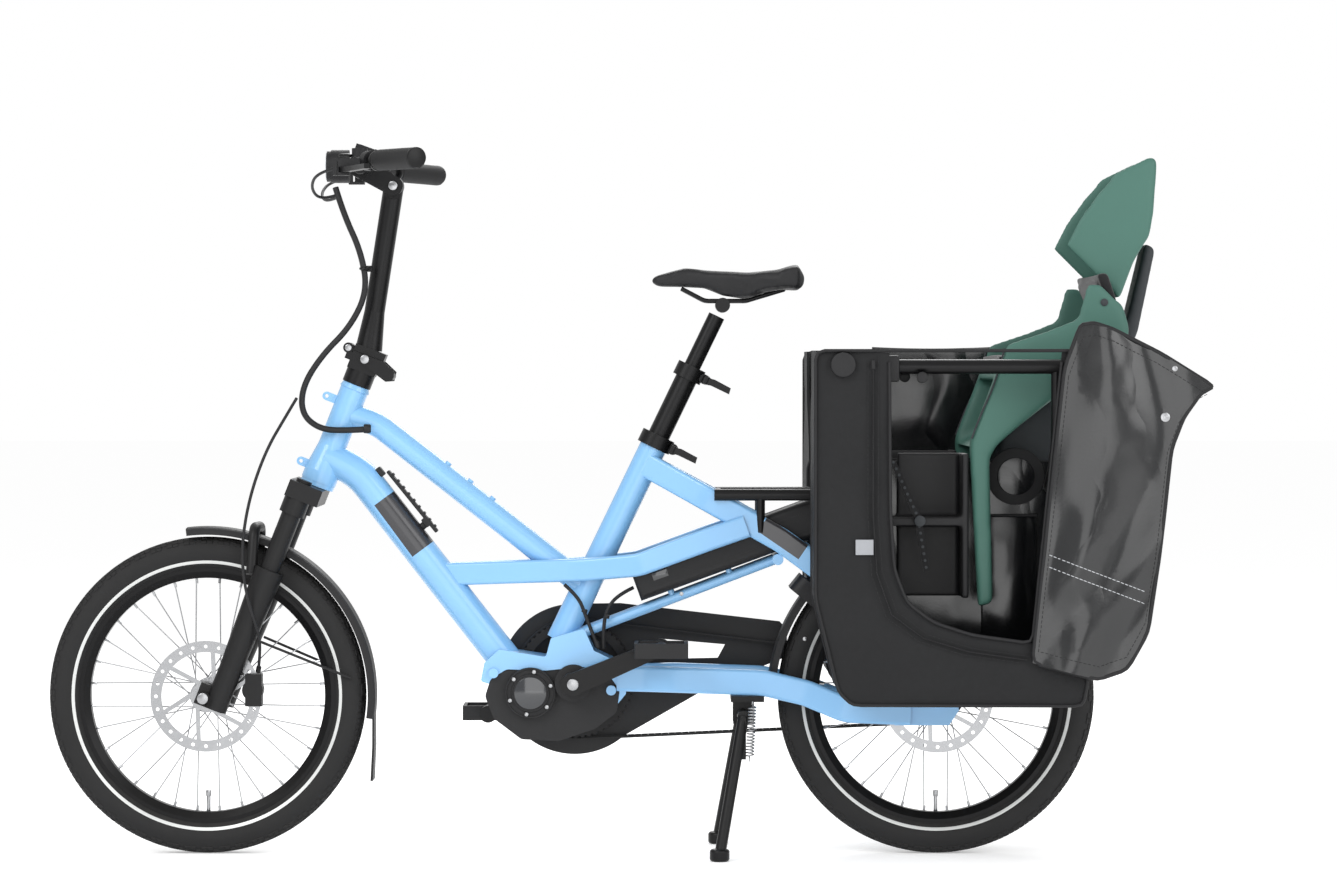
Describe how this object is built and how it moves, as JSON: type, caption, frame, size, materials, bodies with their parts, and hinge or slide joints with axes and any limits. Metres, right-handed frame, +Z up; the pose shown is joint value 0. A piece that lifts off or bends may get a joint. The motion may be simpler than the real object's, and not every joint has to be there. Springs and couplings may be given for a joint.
{
  "type": "cargo bicycle",
  "caption": "Compact longtail electric cargo bicycle with small wheels, belt drive, folding handlepost, centre kickstand, side bags and a rear child seat.",
  "frame": {"origin": "on the ground, midway between the front tyre's front and the open bag door's rear tip, in the middle plane", "axes": "+X to the rear of the bicycle, +Y to the rider's right, +Z up"},
  "size_m": [1.86, 0.6402, 1.1554],
  "materials": {
    "frame_paint": "glossy light blue paint",
    "black_metal": "satin black anodised",
    "fork_black": "matte black fork finish",
    "black_plastic": "moulded matte",
    "motor_black": "fine textured dark grey",
    "tyre": "black rubber",
    "rubber": "soft black rubber",
    "steel": "polished steel",
    "rim_black": "black anodised aluminium",
    "saddle_black": "matte black cover",
    "bag_fabric": "woven coated nylon",
    "seat_green": "matte sage green",
    "seat_grey": "matte dark grey",
    "pad_black": "soft black padding",
    "belt": "black toothed belt"
  },
  "bodies": {
    "frame": {"head_tube": "frame_paint", "top_tube": "frame_paint", "down_tube": "frame_paint", "seat_tube": "frame_paint", "seat_collar": "black_metal", "side_beams": "frame_paint", "upper_stays": "frame_paint", "chain_stays": "frame_paint", "battery_rails": "frame_paint", "battery_pack": "black_plastic", "motor_bracket": "frame_paint", "drive_motor": "motor_black", "belt_guard": "black_plastic", "drive_belt": "belt", "stand_bracket": "black_metal", "rear_fender": "black_plastic", "ring_lock": "black_plastic", "rear_caliper": "fork_black", "rear_rack": "black_metal", "bag_rails": "black_metal", "side_bags": "bag_fabric", "child_seat": "seat_green", "seat_strut": "seat_grey", "seat_pad": "pad_black", "leg_guards": "black_plastic", "seat_straps": "pad_black", "cable_loom": "rubber", "frame_cables": "rubber"},
    "steering": {"steerer": "fork_black", "post_hinge": "black_metal", "fork_hose": "rubber"},
    "post": {"handlepost": "black_metal"},
    "latch": {"latch_lever": "black_metal"},
    "bar": {"handlebar": "black_metal", "grips": "rubber", "bar_controls": "black_plastic"},
    "brake_left": {"brake_lever_left": "black_metal"},
    "brake_right": {"brake_lever_right": "black_metal"},
    "fork": {"fork_lowers": "fork_black", "front_fender": "black_plastic", "front_caliper": "fork_black"},
    "front_wheel": {"front_tyre": "tyre", "front_rim": "rim_black", "front_hub": "steel"},
    "rear_wheel": {"rear_tyre": "tyre", "rear_rim": "rim_black", "rear_hub": "steel"},
    "cranks": {"crank_arms": "black_metal", "belt_ring": "black_metal"},
    "cog": {"belt_cog": "steel"},
    "left_pedal": {"pedal_left": "black_plastic"},
    "right_pedal": {"pedal_right": "black_plastic"},
    "stand": {"kickstand": "black_metal", "stand_spring": "steel"},
    "lower_post": {"seatpost_lower": "black_metal"},
    "lower_lever": {"clamp_lever_lower": "black_metal"},
    "middle_lever": {"clamp_lever_middle": "black_metal"},
    "upper_post": {"seatpost_upper": "black_metal", "saddle": "saddle_black"},
    "door": {"bag_door": "bag_fabric"}
  },
  "joints": [
    {"name": "steering_turn", "type": "hinge", "parent": "frame", "child": "steering", "pos_m": [-0.492, 0, 0.606], "axis": [0.3665, 0, 0.9304], "range_deg": [-55, 55], "deforming": ["cable_loom", "fork_hose"]},
    {"name": "fork_travel", "type": "slide", "parent": "steering", "child": "fork", "axis": [0.3665, 0, 0.9304], "range_m": [0, 0.05], "stiffness_N_per_m": 8000, "springref_m": -0.03, "deforming": ["fork_hose"]},
    {"name": "front_wheel_spin", "type": "hinge", "parent": "fork", "child": "front_wheel", "pos_m": [-0.672, 0, 0.258], "axis": [0, 1, 0], "continuous": true},
    {"name": "rear_wheel_spin", "type": "hinge", "parent": "frame", "child": "rear_wheel", "pos_m": [0.515, 0, 0.258], "axis": [0, 1, 0], "continuous": true},
    {"name": "crank_spin", "type": "hinge", "parent": "frame", "child": "cranks", "pos_m": [-0.0755, 0, 0.28], "axis": [0, 1, 0], "continuous": true, "deforming": ["drive_belt"]},
    {"name": "cog_spin", "type": "hinge", "parent": "frame", "child": "cog", "pos_m": [0.515, 0, 0.258], "axis": [0, 1, 0], "continuous": true, "deforming": ["drive_belt"]},
    {"name": "left_pedal_spin", "type": "hinge", "parent": "cranks", "child": "left_pedal", "pos_m": [0.06749, -0.12, 0.33982], "axis": [0, 1, 0], "continuous": true},
    {"name": "right_pedal_spin", "type": "hinge", "parent": "cranks", "child": "right_pedal", "pos_m": [-0.21849, 0.12, 0.22018], "axis": [0, 1, 0], "continuous": true},
    {"name": "kickstand_fold", "type": "hinge", "parent": "frame", "child": "stand", "pos_m": [0.2, 0, 0.228], "axis": [0, 1, 0], "range_deg": [-85, 0], "deforming": ["stand_spring"]},
    {"name": "lower_seatpost_slide", "type": "slide", "parent": "frame", "child": "lower_post", "axis": [0.4352, 0, 0.9003], "range_m": [-0.09, 0.03]},
    {"name": "upper_seatpost_slide", "type": "slide", "parent": "lower_post", "child": "upper_post", "axis": [0.4352, 0, 0.9003], "range_m": [-0.06, 0.03]},
    {"name": "lower_clamp_lever", "type": "hinge", "parent": "frame", "child": "lower_lever", "pos_m": [0.08583, -0.024, 0.65844], "axis": [0.4352, 0, 0.9003], "range_deg": [-100, 0]},
    {"name": "middle_clamp_lever", "type": "hinge", "parent": "lower_post", "child": "middle_lever", "pos_m": [0.14024, -0.024, 0.77098], "axis": [0.4352, 0, 0.9003], "range_deg": [-100, 0]},
    {"name": "handlepost_fold", "type": "hinge", "parent": "steering", "child": "post", "pos_m": [-0.44106, 0, 0.824], "axis": [0, 1, 0], "range_deg": [-115, 0], "deforming": ["cable_loom"]},
    {"name": "latch_open", "type": "hinge", "parent": "steering", "child": "latch", "pos_m": [-0.41405, 0, 0.80498], "axis": [0, 1, 0], "range_deg": [-60, 0]},
    {"name": "stem_angle", "type": "hinge", "parent": "post", "child": "bar", "pos_m": [-0.3685, 0, 1.087], "axis": [0, 1, 0], "range_deg": [-30, 30], "deforming": ["cable_loom"]},
    {"name": "left_brake_pull", "type": "hinge", "parent": "bar", "child": "brake_left", "pos_m": [-0.438, -0.17, 1.106], "axis": [0, 0, 1], "range_deg": [0, 12], "stiffness_Nm_per_rad": 3, "springref_deg": -8.59},
    {"name": "right_brake_pull", "type": "hinge", "parent": "bar", "child": "brake_right", "pos_m": [-0.438, 0.17, 1.106], "axis": [0, 0, -1], "range_deg": [0, 12], "stiffness_Nm_per_rad": 3, "springref_deg": -8.59},
    {"name": "bag_door_swing", "type": "hinge", "parent": "frame", "child": "door", "pos_m": [0.698, -0.2965, 0.792], "axis": [0.1074, 0, 0.9942], "range_deg": [-178, 0]}
  ],
  "couplings": [
    {"joint": "cog_spin", "follows": "crank_spin", "ratio": 2}
  ]
}
